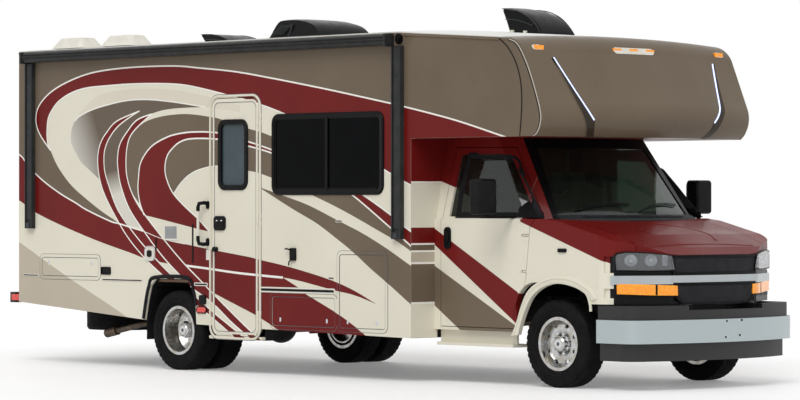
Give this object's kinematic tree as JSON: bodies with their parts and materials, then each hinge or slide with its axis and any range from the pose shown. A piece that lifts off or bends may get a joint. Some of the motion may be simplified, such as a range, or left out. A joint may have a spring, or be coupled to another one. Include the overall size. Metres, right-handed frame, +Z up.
{
  "type": "motorhome",
  "caption": "Motorhome with a sleeping loft over the cab, on a cutaway van chassis with steered front wheels and twin rear wheels.",
  "frame": {"origin": "on the ground, under the middle of the overall length, on the centre plane", "axes": "+X forward, +Y to the left of the vehicle, +Z up"},
  "size_m": [8.1198, 2.89, 3.3056],
  "materials": {
    "coach_paint": "gloss fibreglass with stripes",
    "roof_white": "satin",
    "cap_paint": "gloss gelcoat",
    "floor_wood": "satin",
    "step_plastic": "ribbed",
    "cab_paint": "gloss, red upper",
    "hood_paint": "gloss",
    "cab_glass": "clear, lightly tinted",
    "dark_glass": "dark tint",
    "black_plastic": "grained",
    "lamp_lens": "clear lens",
    "bumper_silver": "silver, satin",
    "black_frame": "semi gloss",
    "awning_case": "satin",
    "vent_plastic": "smoked",
    "white_plastic": "satin",
    "lamp_amber": "lens",
    "lamp_red": "lens",
    "frame_black": "chassis black",
    "engine_iron": "raw",
    "rim_silver": "polished liner",
    "tyre": "black rubber",
    "tank_plastic": "moulded",
    "seat_fabric": "woven",
    "dash_plastic": "grained",
    "exhaust_steel": "dulled",
    "box_plastic": "moulded",
    "nose_silver": "silver, gloss"
  },
  "bodies": {
    "coach": {"awning": "awning_case", "axles": "frame_black", "baggage_boxes": "box_plastic", "cab_seats": "seat_fabric", "cab_shell": "cab_paint", "cap_lamps": "lamp_amber", "chassis_frame": "frame_black", "coach_floor": "floor_wood", "coach_glass": "dark_glass", "crossmembers": "frame_black", "dashboard": "dash_plastic", "engine_block": "engine_iron", "exhaust": "exhaust_steel", "front_bumper": "bumper_silver", "front_cap": "cap_paint", "grille": "black_plastic", "head_lamps": "lamp_lens", "nose_bar": "nose_silver", "partition": "coach_paint", "rear_bumper": "frame_black", "roof": "roof_white", "roof_domes": "white_plastic", "roof_units": "vent_plastic", "running_boards": "coach_paint", "spare_wheel": "tyre", "steering_wheel": "dash_plastic", "step_well": "step_plastic", "tail_lamps": "lamp_red", "tanks": "tank_plastic", "wall_left": "coach_paint", "wall_rear": "coach_paint", "wall_right": "coach_paint", "window_frames": "black_frame", "windshield": "cab_glass"},
    "cab_door_left_body": {"cab_door_left": "cab_paint", "cab_glass_left": "cab_glass", "mirror_left": "black_plastic"},
    "cab_door_right_body": {"cab_door_right": "cab_paint", "cab_glass_right": "cab_glass", "mirror_right": "black_plastic"},
    "hood_body": {"hood": "hood_paint"},
    "entry_door_body": {"entry_door": "coach_paint", "entry_glass": "dark_glass"},
    "baggage_lid_rear_body": {"baggage_lid_rear": "coach_paint"},
    "baggage_lid_middle_body": {"baggage_lid_middle": "coach_paint"},
    "baggage_lid_front_body": {"baggage_lid_front": "coach_paint"},
    "baggage_lid_left_body": {"baggage_lid_left": "coach_paint"},
    "knuckle_left_body": {"knuckle_left": "frame_black"},
    "knuckle_right_body": {"knuckle_right": "frame_black"},
    "front_wheel_left": {"front_rim_left": "rim_silver", "front_tyre_left": "tyre"},
    "front_wheel_right": {"front_rim_right": "rim_silver", "front_tyre_right": "tyre"},
    "rear_wheels_left": {"rear_rims_left": "rim_silver", "rear_tyres_left": "tyre"},
    "rear_wheels_right": {"rear_rims_right": "rim_silver", "rear_tyres_right": "tyre"}
  },
  "joints": [
    {"name": "steer_left", "type": "hinge", "parent": "coach", "child": "knuckle_left_body", "pos_m": [3, 0.7, 0.362], "axis": [0, 0, 1], "range_deg": [-32, 32]},
    {"name": "steer_right", "type": "hinge", "parent": "coach", "child": "knuckle_right_body", "pos_m": [3, -0.7, 0.362], "axis": [0, 0, 1], "range_deg": [-32, 32]},
    {"name": "roll_front_left", "type": "hinge", "parent": "knuckle_left_body", "child": "front_wheel_left", "pos_m": [3, 0.855, 0.362], "axis": [0, 1, 0], "continuous": true},
    {"name": "roll_front_right", "type": "hinge", "parent": "knuckle_right_body", "child": "front_wheel_right", "pos_m": [3, -0.855, 0.362], "axis": [0, 1, 0], "continuous": true},
    {"name": "roll_rear_left", "type": "hinge", "parent": "coach", "child": "rear_wheels_left", "pos_m": [-1.5, 1.0125, 0.362], "axis": [0, 1, 0], "continuous": true},
    {"name": "roll_rear_right", "type": "hinge", "parent": "coach", "child": "rear_wheels_right", "pos_m": [-1.5, -1.0125, 0.362], "axis": [0, 1, 0], "continuous": true},
    {"name": "open_cab_door_left", "type": "hinge", "parent": "coach", "child": "cab_door_left_body", "pos_m": [2.65, 1.001, 0.9], "axis": [0, 0, -1], "range_deg": [0, 65]},
    {"name": "open_cab_door_right", "type": "hinge", "parent": "coach", "child": "cab_door_right_body", "pos_m": [2.65, -1.001, 0.9], "axis": [0, 0, 1], "range_deg": [0, 65]},
    {"name": "open_hood", "type": "hinge", "parent": "coach", "child": "hood_body", "pos_m": [3.09, 0, 1.359], "axis": [0, -1, 0], "range_deg": [0, 55]},
    {"name": "open_entry_door", "type": "hinge", "parent": "coach", "child": "entry_door_body", "pos_m": [-0.352, -1.292, 1.4], "axis": [0, 0, 1], "range_deg": [0, 105]},
    {"name": "open_baggage_lid_rear", "type": "hinge", "parent": "coach", "child": "baggage_lid_rear_body", "pos_m": [-3.053, -1.278, 0.979], "axis": [-1, 0, 0], "range_deg": [0, 95]},
    {"name": "open_baggage_lid_middle", "type": "hinge", "parent": "coach", "child": "baggage_lid_middle_body", "pos_m": [0.24, -1.278, 0.669], "axis": [-1, 0, 0], "range_deg": [0, 95]},
    {"name": "open_baggage_lid_front", "type": "hinge", "parent": "coach", "child": "baggage_lid_front_body", "pos_m": [1.0305, -1.278, 1.049], "axis": [-1, 0, 0], "range_deg": [0, 95]},
    {"name": "open_baggage_lid_left", "type": "hinge", "parent": "coach", "child": "baggage_lid_left_body", "pos_m": [0.39, 1.278, 0.669], "axis": [1, 0, 0], "range_deg": [0, 95]}
  ],
  "couplings": [
    {"joint": "steer_right", "follows": "steer_left", "ratio": 1}
  ]
}
